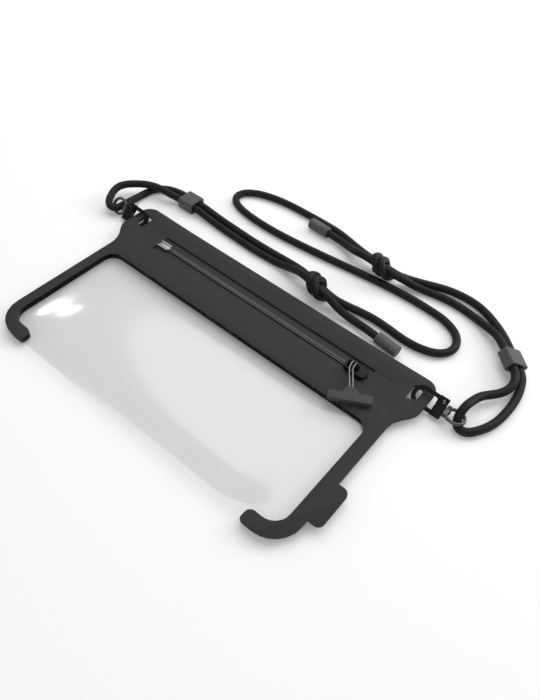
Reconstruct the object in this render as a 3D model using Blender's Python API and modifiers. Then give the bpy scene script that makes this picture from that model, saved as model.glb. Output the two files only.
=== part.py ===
"""Waterproof crossbody pouch for a phone: two clear films welded into a front and a back frame,
a zip across the top band, and a braided shoulder cord clipped to the ears by two swivel hooks.

Metres, +Z up. The pouch lies on its back film: X runs along the zip, Y from the welded bottom edge
to the ears, and the origin is on the floor under the middle of the pouch.
"""
import math

import bmesh
import bpy
from mathutils import Matrix, Vector

# Clearance kept between two pieces that touch.
SEAT = 0.0003

# Pouch outline.
HALF_WIDTH = 0.1223
TOP_Y = 0.0760
BOTTOM_Y = -0.0760
CORNER_RADIUS = 0.020
BAND_WIDTH = 0.0084
WINDOW_SHIFT = -0.0007
TOP_BAND = 0.0547
BOTTOM_BAND = 0.0090
BAND_TIP_INSET = 0.0288
WINDOW_TOP_RADIUS = 0.009
WINDOW_BOTTOM_RADIUS = 0.011
BACK_WINDOW_GROWTH = 0.0009

# Ears that carry the hooks, and the tab on the right side band.
EAR_REACH = 0.0098
LEFT_EAR_EXTRA = 0.0010
EAR_LENGTH = 0.029
EAR_RISE = 0.0008
EAR_RISE_INSET = 0.037
EAR_RADIUS = 0.009
SLOT_WIDTH = 0.0069
SLOT_LENGTH = 0.0142
SLOT_SLANT = 0.0040
SLOT_TOP_SLANT = 0.0009
WEB_WIDTH = 0.0070
TAB_REACH = 0.0083
TAB_LENGTH = 0.0288
TAB_CENTRE_Y = -0.0378
TAB_RADIUS = 0.0042

# The stack, from the floor up.
BACK_FRAME_Z = 0.0017
BACK_FRAME_THICKNESS = 0.0016
FILM_THICKNESS = 0.0004
FRONT_FRAME_THICKNESS = 0.0020
BACK_FRAME_INSET = 0.0006
BACK_SHOULDER_Y = 0.041
BACK_SHOULDER_GAP = 0.0006
FRAME_EDGE = 0.0006
FILM_LAP = 0.0040
FILM_TOP_LAP = 0.0100
FRONT_BULGE = 0.0055
FILM_CORNER_RADIUS = 0.017
BOTTOM_WELD = 0.0035
SIDE_RAMP = 0.038
BOTTOM_RAMP = 0.014
TOP_RAMP = 0.014

# Zip.
ZIP_Y = 0.0512
ZIP_LEFT_INSET = 0.0261
ZIP_RIGHT_INSET = 0.0292
ZIP_WINDOW = 0.0165
PATCH_LENGTH = 0.0132
TAPE_THICKNESS = 0.0008
TAPE_LAP = 0.0045
LIP_THICKNESS = 0.0010
TAPE_SPLIT = 0.0008
TOOTH_PITCH = 0.0025
TOOTH_WIDTH = 0.00095
TOOTH_CROSS = 0.00035
TEETH_HALF_WIDTH = 0.0015
TEETH_HEIGHT = 0.0011
STOP_LENGTH = 0.0096
STOP_WIDTH = 0.0066
STOP_HEIGHT = 0.0019

# Slider, its pin, the hairpin wire and the moulded grip.
SLIDER_LENGTH = 0.0165
SLIDER_NOSE_WIDTH = 0.0066
SLIDER_TAIL_WIDTH = 0.0094
SLIDER_PLATE = 0.0011
PIN_RADIUS = 0.0007
WIRE_RADIUS = 0.00055
LUG_THICKNESS = 0.0012
LUG_SPACING = 0.0066
LUG_RADIUS = 0.0019
WIRE_SPREAD = 0.0026
WIRE_SPREAD_AT_GRIP = 0.0022
GRIP_SKEW = math.radians(29.5)
GRIP_REACH = 0.0265
GRIP_LENGTH = 0.0283
GRIP_BAR = 0.0062
GRIP_NECK = 0.0046
GRIP_NECK_WIDTH = 0.0058
GRIP_THICKNESS = 0.0038

# Swivel hooks.
HOOK_WIDTH = 0.0138
HOOK_ARM = 0.0028
HOOK_THICKNESS = 0.0026
HOOK_TILT = math.radians(42)
LEFT_HOOK_SHIFT = 0.0
RIGHT_HOOK_SHIFT = 0.0021
HOOK_TIP_REACH = 0.0030
HOOK_GAP_TO_EAR = 0.0034
BLOCK_LENGTH = 0.0069
BLOCK_THICKNESS = 0.0044
BLOCK_PROUD = 0.0003
GATE_THICKNESS = 0.0020
GATE_PIN_RADIUS = 0.0008
GATE_ROOT_RADIUS = 0.0019
SHANK_RADIUS = 0.0013
SHANK_HEAD_RADIUS = 0.0019
SHANK_HEAD_LENGTH = 0.0011
COLLAR_RADIUS = 0.0022
BRIDGE_LENGTH = 0.0027
BRIDGE_WIDTH = 0.0094
BRIDGE_THICKNESS = 0.0032
EYE_WIRE_RADIUS = 0.00115
EYE_LENGTH = 0.0124
EYE_WIDTH = 0.0120
LEFT_EYE_TILT = math.radians(54)
RIGHT_EYE_TILT = math.radians(-9)

# Shoulder cord and the pieces on it.
CORD_RADIUS = 0.0028
STRAND_SPACING = 0.0060
CORD_POINTS = 140
KNOT_WIRE_RADIUS = 0.0020
KNOT_TURNS = 2.05
KNOT_PITCH = 0.0060
KNOT_LEAN = -0.0034
LOCK_LENGTH = 0.0140
LOCK_WALL = 0.0012
LOCK_PLAY = 0.0005
KNOT_PLAY = 0.0004
CAP_LENGTH = 0.0175
CAP_RADIUS = 0.0044
CAP_RIBS = 22
CAP_RIB_DEPTH = 0.0003
CAP_BORE_DEPTH = 0.0130
CAP_PLAY = 0.0005

# Places that follow from the sizes above.
BAND_TIP_X = HALF_WIDTH - BAND_TIP_INSET
ZIP_LEFT = ZIP_LEFT_INSET - HALF_WIDTH
ZIP_RIGHT = HALF_WIDTH - ZIP_RIGHT_INSET
BACK_FILM_Z = BACK_FRAME_Z + BACK_FRAME_THICKNESS + SEAT
FRONT_FILM_Z = BACK_FILM_Z + FILM_THICKNESS + SEAT
FRONT_FRAME_Z = FRONT_FILM_Z + FILM_THICKNESS + SEAT
FRAME_TOP_Z = FRONT_FRAME_Z + FRONT_FRAME_THICKNESS
WINDOW_X = HALF_WIDTH - BAND_WIDTH
WINDOW_TOP_Y = TOP_Y - TOP_BAND
WINDOW_BOTTOM_Y = BOTTOM_Y + BOTTOM_BAND
EAR_X = HALF_WIDTH + EAR_REACH
EAR_BOTTOM_Y = TOP_Y - EAR_LENGTH
SLOT_OUTER_X = EAR_X - WEB_WIDTH
SLOT_INNER_X = SLOT_OUTER_X - SLOT_WIDTH
BACK_SHOULDER_X = SLOT_INNER_X - BACK_SHOULDER_GAP
SLOT_CENTRE_Y = TOP_Y - EAR_LENGTH / 2 - 0.0008
LIP_Z = FRAME_TOP_Z - LIP_THICKNESS
TAPE_TOP_Z = LIP_Z - SEAT
TEETH_Z = TAPE_TOP_Z + SEAT
TEETH_TOP_Z = TEETH_Z + TEETH_HEIGHT
PLATE_Z = TEETH_TOP_Z + SEAT
SLIDER_TOP_Z = PLATE_Z + SLIDER_PLATE
SLIDER_RIGHT_X = ZIP_RIGHT - 0.0020
SLIDER_X = SLIDER_RIGHT_X - SLIDER_LENGTH / 2
WRAP_RADIUS = PIN_RADIUS + 0.00025 + WIRE_RADIUS
PIN_Z = SLIDER_TOP_Z + SEAT + WIRE_RADIUS + WRAP_RADIUS
PIN_X = SLIDER_X - 0.0022
GRIP_Z = FRAME_TOP_Z + SEAT
STOP_X = ZIP_LEFT + 0.0006 + STOP_LENGTH / 2
ARM_CENTRE = (HOOK_WIDTH - HOOK_ARM) / 2
ARC_RADIUS = HOOK_WIDTH / 2
BLOCK_X = EAR_X + HOOK_GAP_TO_EAR
HOOK_NOSE_X = SLOT_OUTER_X - HOOK_ARM - 0.0031
ARM_DROP = (ARM_CENTRE - HOOK_ARM / 2) * math.sin(HOOK_TILT) - HOOK_THICKNESS / 2 * math.cos(HOOK_TILT)
HOOK_Z = FRONT_FRAME_Z - SEAT + ARM_DROP
GATE_PIVOT_U = BLOCK_X + BLOCK_LENGTH - 0.0028
GATE_PIVOT_V = ARC_RADIUS - 0.0025
COLLAR_X = BLOCK_X + BLOCK_LENGTH + SEAT
EYE_X = COLLAR_X + EYE_WIRE_RADIUS + EYE_LENGTH / 2
LOCK_HALF_HEIGHT = CORD_RADIUS + LOCK_PLAY + LOCK_WALL
LOCK_HALF_WIDTH = STRAND_SPACING / 2 + CORD_RADIUS + LOCK_PLAY + LOCK_WALL

# Where the pieces on the cord lie: centre or mouth, heading about Z and roll about the cord.
NEAR_KNOT = (Vector((0.0187, 0.0942, 0.0092)), math.radians(-13), math.radians(-37.2))
FAR_KNOT = (Vector((0.0420, 0.1437, 0.0098)), math.radians(-4.5), math.radians(-33.6))
LEFT_LOCK = (Vector((-0.1150, 0.1041, 0.0048)), 0.0, 0.0)
RIGHT_LOCK = (Vector((0.1569, 0.1291, 0.00745)), math.radians(-43.8), math.radians(-26.5))
NEAR_CAP = (Vector((0.0770, 0.0864, 0.0046)), math.radians(-6), 0.0)
FAR_CAP = (Vector((-0.0120, 0.1516, 0.0046)), math.radians(177), 0.0)
KNOT_REACH = 0.0110
LOCK_REACH = 0.0080

# The cord between those pieces, as points chosen along it.
NEAR_TAIL = [(0.0590, 0.0888, 0.0035), (0.0500, 0.0886, 0.0044), (0.0410, 0.0880, 0.0078)]
NEAR_STRAND = [(-0.0030, 0.0966, 0.0086), (-0.0110, 0.0979, 0.0056), (-0.0190, 0.0984, 0.0034),
               (-0.0290, 0.0981, 0.0029), (-0.0430, 0.0978, 0.0029), (-0.0620, 0.0986, 0.0029),
               (-0.0800, 0.0997, 0.0029), (-0.0950, 0.1008, 0.0036)]
LEFT_LOOP = [(-0.1330, 0.0978, 0.0076), (-0.1410, 0.0972, 0.0080), (-0.1497, 0.0949, 0.0083),
             (-0.1551, 0.0913, 0.0088), (-0.1594, 0.0865, 0.0094), (-0.1634, 0.0817, 0.0096),
             (-0.1666, 0.0766, 0.0092), (-0.1670, 0.0715, 0.0086), (-0.1654, 0.0664, 0.0078),
             (-0.1629, 0.0616, 0.0072), (-0.1596, 0.0575, 0.0069), (-0.1556, 0.0550, 0.0067),
             (-0.1513, 0.0555, 0.0062), (-0.1500, 0.0585, 0.0061), (-0.1501, 0.0625, 0.0059),
             (-0.1505, 0.0670, 0.0054), (-0.1514, 0.0743, 0.0040), (-0.1518, 0.0822, 0.0031),
             (-0.1514, 0.0905, 0.0029), (-0.1496, 0.0982, 0.0029), (-0.1438, 0.1042, 0.0030),
             (-0.1345, 0.1071, 0.0038)]
FAR_STRAND = [(-0.0950, 0.1071, 0.0036), (-0.0860, 0.1068, 0.0029), (-0.0680, 0.1056, 0.0029),
              (-0.0480, 0.1046, 0.0029), (-0.0300, 0.1046, 0.0029), (-0.0160, 0.1047, 0.0032),
              (-0.0040, 0.1028, 0.0052)]
LONG_LOOP = [(0.0410, 0.0952, 0.0054), (0.0510, 0.0985, 0.0035), (0.0630, 0.1005, 0.0029),
             (0.0770, 0.0999, 0.0029), (0.0919, 0.0984, 0.0029), (0.1051, 0.0997, 0.0029),
             (0.1155, 0.1041, 0.0029), (0.1208, 0.1112, 0.0029), (0.1208, 0.1200, 0.0029),
             (0.1155, 0.1280, 0.0029), (0.1050, 0.1335, 0.0029), (0.0886, 0.1357, 0.0029),
             (0.0640, 0.1358, 0.0029), (0.0401, 0.1337, 0.0029), (0.0190, 0.1312, 0.0029),
             (0.0010, 0.1290, 0.0029), (-0.0195, 0.1268, 0.0029), (-0.0410, 0.1252, 0.0029),
             (-0.0600, 0.1253, 0.0029), (-0.0755, 0.1268, 0.0029), (-0.0865, 0.1296, 0.0029),
             (-0.0942, 0.1345, 0.0029), (-0.0962, 0.1415, 0.0029), (-0.0925, 0.1482, 0.0029),
             (-0.0840, 0.1538, 0.0029), (-0.0720, 0.1577, 0.0029), (-0.0580, 0.1598, 0.0029),
             (-0.0400, 0.1604, 0.0029), (-0.0200, 0.1604, 0.0029), (-0.0060, 0.1594, 0.0030),
             (0.0050, 0.1563, 0.0038), (0.0150, 0.1521, 0.0058)]
UPPER_STRAND = [(0.0630, 0.1497, 0.0058), (0.0715, 0.1550, 0.0038), (0.0800, 0.1596, 0.0029),
                (0.0910, 0.1634, 0.0029), (0.1030, 0.1650, 0.0029), (0.1130, 0.1644, 0.0029),
                (0.1220, 0.1614, 0.0032), (0.1310, 0.1562, 0.0038), (0.1395, 0.1496, 0.0050)]
RIGHT_LOOP = [(0.1714, 0.1125, 0.0044), (0.1728, 0.1030, 0.0034), (0.1727, 0.0910, 0.0030),
              (0.1712, 0.0800, 0.0029), (0.1684, 0.0715, 0.0029), (0.1650, 0.0655, 0.0029),
              (0.1622, 0.0613, 0.0029), (0.1592, 0.0591, 0.0029), (0.1557, 0.0587, 0.0028),
              (0.1530, 0.0604, 0.0033), (0.1516, 0.0630, 0.0057), (0.1512, 0.0656, 0.0086),
              (0.1514, 0.0692, 0.0106), (0.1519, 0.0742, 0.0103), (0.1531, 0.0811, 0.0086),
              (0.1550, 0.0880, 0.0072), (0.1603, 0.0953, 0.0064), (0.1650, 0.1025, 0.0068),
              (0.1665, 0.1092, 0.0078)]
LOWER_STRAND = [(0.1375, 0.1434, 0.0070), (0.1285, 0.1478, 0.0048), (0.1195, 0.1511, 0.0034),
                (0.1100, 0.1532, 0.0029), (0.0990, 0.1538, 0.0029), (0.0870, 0.1526, 0.0029),
                (0.0770, 0.1503, 0.0032), (0.0690, 0.1468, 0.0054), (0.0620, 0.1434, 0.0088)]
FAR_TAIL = [(0.0175, 0.1445, 0.0088), (0.0090, 0.1482, 0.0060)]


def start_scene():
    """Empties the scene and makes the collections for the pouch and its cutters."""
    for old in list(bpy.data.objects):
        bpy.data.objects.remove(old)
    made = []
    for name in ("crossbody_pouch", "cutters"):
        collection = bpy.data.collections.new(name)
        bpy.context.scene.collection.children.link(collection)
        made.append(collection)
    return made


POUCH, CUTTERS = start_scene()


def finish(name, colour, roughness, metallic=0.0, alpha=1.0):
    """A Principled material."""
    made = bpy.data.materials.new(name)
    made.use_nodes = True
    shader = made.node_tree.nodes["Principled BSDF"]
    shader.inputs["Base Color"].default_value = (*colour, 1.0)
    shader.inputs["Roughness"].default_value = roughness
    shader.inputs["Metallic"].default_value = metallic
    shader.inputs["Alpha"].default_value = alpha
    return made


SOFT_BLACK = finish("matte_tpu", (0.055, 0.055, 0.057), 0.55)
CLEAR_FILM = finish("clear_film", (0.93, 0.95, 0.95), 0.12, alpha=0.25)
TAPE_BLACK = finish("zip_tape", (0.030, 0.030, 0.032), 0.6)
TEETH_GREY = finish("zip_teeth", (0.22, 0.22, 0.23), 0.35, 0.6)
STEEL = finish("stop_metal", (0.55, 0.55, 0.56), 0.3, 1.0)
DARK_METAL = finish("dark_metal", (0.05, 0.05, 0.055), 0.3, 0.8)
HOOK_BLACK = finish("hook_black", (0.020, 0.020, 0.022), 0.4, 0.4)
EYE_GREY = finish("eye_grey", (0.10, 0.10, 0.11), 0.3, 0.8)
CORD_BLACK = finish("braided_cord", (0.016, 0.016, 0.017), 0.7)
LOCK_GREY = finish("moulded_lock", (0.065, 0.065, 0.067), 0.5)


def add(name, data, material, collection=POUCH, matrix=None):
    """Links a new object that holds data."""
    made = bpy.data.objects.new(name, data)
    collection.objects.link(made)
    data.materials.append(material)
    if matrix is not None:
        made.matrix_world = matrix
    return made


def frame_matrix(origin, along, across):
    """A right-handed placement whose X and Y axes are the two unit vectors."""
    up = along.cross(across)
    return Matrix.Translation(origin) @ Matrix((along, across, up)).transposed().to_4x4()


def arc(cx, cy, radius, start, end, steps):
    """Points on a circle's arc, both ends included."""
    turn = (end - start) / steps
    return [(cx + radius * math.cos(start + turn * i), cy + radius * math.sin(start + turn * i))
            for i in range(steps + 1)]


def rounded(corners, step=math.radians(15)):
    """A closed outline through (x, y, radius) corners, each turned by an arc."""
    points = []
    count = len(corners)
    for i, (x, y, radius) in enumerate(corners):
        here = Vector((x, y))
        before = (Vector(corners[i - 1][:2]) - here).normalized()
        after = (Vector(corners[(i + 1) % count][:2]) - here).normalized()
        half = before.angle(after) / 2
        if radius <= 0 or half > math.radians(89):
            points.append((x, y))
            continue
        centre = here + (before + after).normalized() * radius / math.sin(half)
        first = here + before * radius / math.tan(half) - centre
        last = here + after * radius / math.tan(half) - centre
        start = math.atan2(first.y, first.x)
        sweep = math.atan2(first.x * last.y - first.y * last.x, first.dot(last))
        steps = max(1, round(abs(sweep) / step))
        points += arc(centre.x, centre.y, radius, start, start + sweep, steps)
    return points


def flat_curve(name, outlines, half_depth):
    """A 2D curve that fills between its outlines and stands half_depth to each side."""
    curve = bpy.data.curves.new(name, "CURVE")
    curve.dimensions = "2D"
    curve.fill_mode = "BOTH"
    curve.extrude = half_depth
    for outline in outlines:
        spline = curve.splines.new("POLY")
        spline.points.add(len(outline) - 1)
        for point, (x, y) in zip(spline.points, outline):
            point.co = (x, y, 0, 1)
        spline.use_cyclic_u = True
    return curve


def as_mesh(source):
    """Turns a curve object into a mesh object of the same name and place."""
    bpy.context.view_layer.update()
    shape = source.evaluated_get(bpy.context.evaluated_depsgraph_get())
    mesh = bpy.data.meshes.new_from_object(shape)
    welded = bmesh.new()
    welded.from_mesh(mesh)
    bmesh.ops.remove_doubles(welded, verts=welded.verts, dist=0.000005)
    welded.to_mesh(mesh)
    welded.free()
    name, matrix, home = source.name, source.matrix_world.copy(), source.users_collection[0]
    bpy.data.objects.remove(source)
    made = bpy.data.objects.new(name, mesh)
    home.objects.link(made)
    made.matrix_world = matrix
    return made


def soften(piece, width, segments=2):
    """Rounds the sharp edges of a piece."""
    bevel = piece.modifiers.new("edge", "BEVEL")
    bevel.width = width
    bevel.segments = segments
    bevel.limit_method = "ANGLE"
    bevel.angle_limit = math.radians(50)
    return piece


def sheet(name, outlines, low, high, material, edge=0.0, segments=2):
    """A flat piece lying between two heights, its rim rounded by edge."""
    curve = flat_curve(name, outlines, (high - low) / 2)
    made = as_mesh(add(name, curve, material, matrix=Matrix.Translation((0, 0, (low + high) / 2))))
    if edge:
        soften(made, edge, segments)
    return made


def box(name, low, high, material, collection=POUCH, matrix=None):
    """A box between two corners."""
    mesh = bpy.data.meshes.new(name)
    shape = bmesh.new()
    bmesh.ops.create_cube(shape, size=1)
    size = Vector(high) - Vector(low)
    bmesh.ops.scale(shape, vec=size, verts=shape.verts)
    bmesh.ops.translate(shape, vec=(Vector(low) + Vector(high)) / 2, verts=shape.verts)
    shape.to_mesh(mesh)
    shape.free()
    return add(name, mesh, material, collection, matrix)


def rod(name, radius, start, end, material, collection=POUCH, sides=20):
    """A round bar between two points."""
    axis = Vector(end) - Vector(start)
    mesh = bpy.data.meshes.new(name)
    shape = bmesh.new()
    bmesh.ops.create_cone(shape, cap_ends=True, segments=sides, radius1=radius, radius2=radius,
                          depth=axis.length)
    shape.to_mesh(mesh)
    shape.free()
    turn = axis.to_track_quat("Z", "Y").to_matrix().to_4x4()
    made = add(name, mesh, material, collection, Matrix.Translation((Vector(start) + Vector(end)) / 2) @ turn)
    made.data.shade_smooth()
    made.data.set_sharp_from_angle(angle=math.radians(40))
    return made


def tube(name, points, radius, material, closed=False, resolution=2, matrix=None):
    """A round wire or cord along the points."""
    curve = bpy.data.curves.new(name, "CURVE")
    curve.dimensions = "3D"
    curve.bevel_depth = radius
    curve.bevel_resolution = resolution
    curve.use_fill_caps = not closed
    spline = curve.splines.new("POLY")
    spline.points.add(len(points) - 1)
    for point, place in zip(spline.points, points):
        point.co = (*place, 1)
    spline.use_cyclic_u = closed
    spline.use_smooth = True
    return add(name, curve, material, matrix=matrix)


def turned(name, profile, material, matrix):
    """A solid turned about its own Z axis, from a profile that runs down its outer side."""
    mesh = bpy.data.meshes.new(name)
    line = bmesh.new()
    verts = [line.verts.new((radius, 0, height)) for radius, height in profile]
    for first, second in zip(verts, verts[1:]):
        line.edges.new((first, second))
    line.to_mesh(mesh)
    line.free()
    made = add(name, mesh, material, matrix=matrix)
    screw = made.modifiers.new("turn", "SCREW")
    screw.steps = 20
    screw.render_steps = 20
    screw.use_merge_vertices = True
    screw.merge_threshold = 0.00005
    screw.use_smooth_shade = True
    return made


def combine(piece, other, operation):
    """Adds or cuts with another object, which becomes a guide."""
    for home in list(other.users_collection):
        home.objects.unlink(other)
    CUTTERS.objects.link(other)
    other.hide_render = True
    other.display_type = "WIRE"
    step = piece.modifiers.new(operation.lower(), "BOOLEAN")
    step.operation = operation
    step.object = other
    step.solver = "EXACT"


def ease(value):
    """Smooth step from 0 to 1."""
    clipped = min(1.0, max(0.0, value))
    return clipped * clipped * (3 - 2 * clipped)


def build_frames():
    """The moulded front frame with its ears and tab, and the plainer frame behind."""
    left_tab = TAB_CENTRE_Y - TAB_LENGTH / 2
    right_tab = TAB_CENTRE_Y + TAB_LENGTH / 2

    def ear(extra):
        return [(HALF_WIDTH, EAR_BOTTOM_Y - 0.0135, 0.018), (EAR_X + extra, EAR_BOTTOM_Y, 0.013),
                (EAR_X + extra, TOP_Y + EAR_RISE, EAR_RADIUS), (HALF_WIDTH - EAR_RISE_INSET, TOP_Y, 0)]

    tab = [(HALF_WIDTH, left_tab, 0), (HALF_WIDTH + TAB_REACH, left_tab, TAB_RADIUS),
           (HALF_WIDTH + TAB_REACH, right_tab, TAB_RADIUS), (HALF_WIDTH, right_tab, 0)]
    tip = [(BAND_TIP_X, BOTTOM_Y, 0.0015), (HALF_WIDTH, BOTTOM_Y, CORNER_RADIUS)]

    def window(growth):
        left, right = WINDOW_SHIFT - WINDOW_X - growth, WINDOW_SHIFT + WINDOW_X + growth
        top = WINDOW_TOP_Y + growth
        return [(-BAND_TIP_X, WINDOW_BOTTOM_Y, 0.0040), (left, WINDOW_BOTTOM_Y, WINDOW_BOTTOM_RADIUS),
                (left, top, WINDOW_TOP_RADIUS), (right, top, WINDOW_TOP_RADIUS),
                (right, WINDOW_BOTTOM_Y, WINDOW_BOTTOM_RADIUS), (BAND_TIP_X, WINDOW_BOTTOM_Y, 0.0040)]

    mirrored = [(-x, y, r) for x, y, r in reversed(tip + ear(LEFT_EAR_EXTRA))]
    outer = rounded(tip + tab + ear(0.0) + mirrored + window(0.0))
    zip_gap = rounded([(ZIP_LEFT - PATCH_LENGTH, ZIP_Y - ZIP_WINDOW / 2, 0.0008),
                       (ZIP_RIGHT + PATCH_LENGTH, ZIP_Y - ZIP_WINDOW / 2, 0.0008),
                       (ZIP_RIGHT + PATCH_LENGTH, ZIP_Y + ZIP_WINDOW / 2, 0.0008),
                       (ZIP_LEFT - PATCH_LENGTH, ZIP_Y + ZIP_WINDOW / 2, 0.0008)], math.radians(45))
    low = SLOT_CENTRE_Y - SLOT_LENGTH / 2
    high = SLOT_CENTRE_Y + SLOT_LENGTH / 2
    slot = [(SLOT_INNER_X, low, 0.0012), (SLOT_OUTER_X, low + SLOT_SLANT, 0.0012),
            (SLOT_OUTER_X, high, 0.0020), (SLOT_INNER_X, high - SLOT_TOP_SLANT, 0.0016)]
    slots = [rounded(slot, math.radians(30)),
             rounded([(-x - LEFT_EAR_EXTRA, y, r) for x, y, r in slot], math.radians(30))]
    front = sheet("front_frame", [outer, zip_gap, *slots], FRONT_FRAME_Z, FRAME_TOP_Z, SOFT_BLACK,
                  FRAME_EDGE, 2)
    rebate = box("tape_rebate",
                 (ZIP_LEFT - PATCH_LENGTH - TAPE_LAP, ZIP_Y - ZIP_WINDOW / 2 - TAPE_LAP,
                  FRONT_FRAME_Z - 0.002),
                 (ZIP_RIGHT + PATCH_LENGTH + TAPE_LAP, ZIP_Y + ZIP_WINDOW / 2 + TAPE_LAP, LIP_Z),
                 SOFT_BLACK)
    combine(front, rebate, "DIFFERENCE")
    inset = BACK_FRAME_INSET
    back_tip = [(BAND_TIP_X, BOTTOM_Y + inset, 0.0015), (HALF_WIDTH - inset, BOTTOM_Y + inset, CORNER_RADIUS),
                (HALF_WIDTH - inset, BACK_SHOULDER_Y, 0.006), (BACK_SHOULDER_X, BACK_SHOULDER_Y + 0.006, 0.006),
                (BACK_SHOULDER_X, TOP_Y - inset, 0.005)]
    back_mirrored = [(-x, y, r) for x, y, r in reversed(back_tip)]
    sheet("back_frame", [rounded(back_tip + back_mirrored + window(BACK_WINDOW_GROWTH))], BACK_FRAME_Z,
          BACK_FRAME_Z + BACK_FRAME_THICKNESS, SOFT_BLACK, 0.0004, 1)


def build_film(name, base_z, bulge, outward):
    """A welded film: a flat rim under the frame, swelling into a pillow inside the window."""
    half = WINDOW_X + FILM_LAP
    top = WINDOW_TOP_Y + FILM_TOP_LAP
    low = BOTTOM_Y + 0.0008
    inner_x = WINDOW_X - 0.0010
    inner_top = WINDOW_TOP_Y - 0.0010
    columns = [-half] + [-inner_x * math.cos(math.pi * i / 22) for i in range(23)] + [half]
    rows = 11
    mesh = bpy.data.meshes.new(name)
    grid = bmesh.new()
    bmesh.ops.create_grid(grid, x_segments=len(columns) - 1, y_segments=rows + 2, size=1)
    for vert in grid.verts:
        x = columns[round((vert.co.x + 1) / 2 * (len(columns) - 1))]
        row = round((vert.co.y + 1) / 2 * (rows + 2))
        past = max(0.0, abs(x) - (half - FILM_CORNER_RADIUS))
        edge = low + FILM_CORNER_RADIUS - math.sqrt(max(0.0, FILM_CORNER_RADIUS ** 2 - past ** 2))
        weld = low + BOTTOM_WELD + (BOTTOM_BAND - BOTTOM_WELD) * ease((abs(x) - BAND_TIP_X + 0.014) / 0.012)
        inner = max(weld, edge + 0.0008)
        part = (1 - math.cos(math.pi * (row - 1) / rows)) / 2
        y = edge if row == 0 else top if row == rows + 2 else inner + (inner_top - inner) * part
        side = ease((inner_x - abs(x)) / SIDE_RAMP)
        rise = side * ease((y - weld) / BOTTOM_RAMP) * ease((inner_top - y) / TOP_RAMP)
        vert.co = (x, y, base_z + bulge * rise)
    grid.to_mesh(mesh)
    grid.free()
    made = add(name, mesh, CLEAR_FILM)
    wall = made.modifiers.new("film", "SOLIDIFY")
    wall.thickness = FILM_THICKNESS
    wall.offset = outward
    for face in mesh.polygons:
        face.use_smooth = True
    return made


def comb(direction, teeth):
    """Outline of one row of teeth; direction is 1 for the far row and -1 for the near one."""
    spine_in = SEAT + TOOTH_CROSS
    points = []
    start = STOP_X + STOP_LENGTH / 2 + SEAT
    for i in range(teeth):
        x = start + 0.0006 + TOOTH_PITCH * (i + (0.0 if direction > 0 else 0.5))
        points += [(x, spine_in), (x, -TOOTH_CROSS), (x + TOOTH_WIDTH, -TOOTH_CROSS), (x + TOOTH_WIDTH, spine_in)]
    right = points[-1][0] + TOOTH_WIDTH
    points += [(right, spine_in), (right, TEETH_HALF_WIDTH), (start, TEETH_HALF_WIDTH), (start, spine_in)]
    return [(x, ZIP_Y + direction * y) for x, y in points]


def build_zip():
    """Two tapes under the frame's lip, two rows of teeth, the end stop and the two end patches."""
    left = ZIP_LEFT - PATCH_LENGTH - TAPE_LAP + SEAT
    right = ZIP_RIGHT + PATCH_LENGTH + TAPE_LAP - SEAT
    reach = ZIP_WINDOW / 2 + TAPE_LAP - SEAT
    low = TAPE_TOP_Z - TAPE_THICKNESS
    box("zip_tape_far", (left, ZIP_Y + TAPE_SPLIT / 2, low), (right, ZIP_Y + reach, TAPE_TOP_Z), TAPE_BLACK)
    box("zip_tape_near", (left, ZIP_Y - reach, low), (right, ZIP_Y - TAPE_SPLIT / 2, TAPE_TOP_Z), TAPE_BLACK)
    span = SLIDER_RIGHT_X - STOP_X - STOP_LENGTH / 2
    teeth = int(span / TOOTH_PITCH) - 1
    for name, direction in (("zip_teeth_far", 1), ("zip_teeth_near", -1)):
        sheet(name, [comb(direction, teeth)], TEETH_Z, TEETH_TOP_Z, TEETH_GREY)
    for name, x_in, x_out in (("zip_patch_left", ZIP_LEFT, ZIP_LEFT - PATCH_LENGTH),
                              ("zip_patch_right", ZIP_RIGHT, ZIP_RIGHT + PATCH_LENGTH)):
        low_x, high_x = sorted((x_in, x_out))
        gap_low = SEAT if x_out < x_in else 0.0
        gap_high = SEAT if x_out > x_in else 0.0
        y_half = ZIP_WINDOW / 2 - SEAT
        outline = rounded([(low_x + gap_low, ZIP_Y - y_half, 0.0006), (high_x - gap_high, ZIP_Y - y_half, 0.0006),
                           (high_x - gap_high, ZIP_Y + y_half, 0.0006), (low_x + gap_low, ZIP_Y + y_half, 0.0006)],
                          math.radians(45))
        sheet(name, [outline], TAPE_TOP_Z + SEAT, FRAME_TOP_Z, SOFT_BLACK, 0.00015, 1)
    half = STOP_WIDTH / 2
    bar = 0.0020
    profile = [(-half, 0), (half, 0), (half, STOP_HEIGHT - 0.0004), (half - 0.0005, STOP_HEIGHT),
               (half - bar + 0.0005, STOP_HEIGHT), (half - bar, STOP_HEIGHT - 0.0008),
               (bar - half, STOP_HEIGHT - 0.0008), (bar - 0.0005 - half, STOP_HEIGHT),
               (0.0005 - half, STOP_HEIGHT), (-half, STOP_HEIGHT - 0.0004)]
    curve = flat_curve("zip_end_stop", [profile], STOP_LENGTH / 2)
    place = frame_matrix(Vector((STOP_X, ZIP_Y, TAPE_TOP_Z + SEAT)), Vector((0, 1, 0)), Vector((0, 0, 1)))
    as_mesh(add("zip_end_stop", curve, STEEL, matrix=place))


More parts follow.
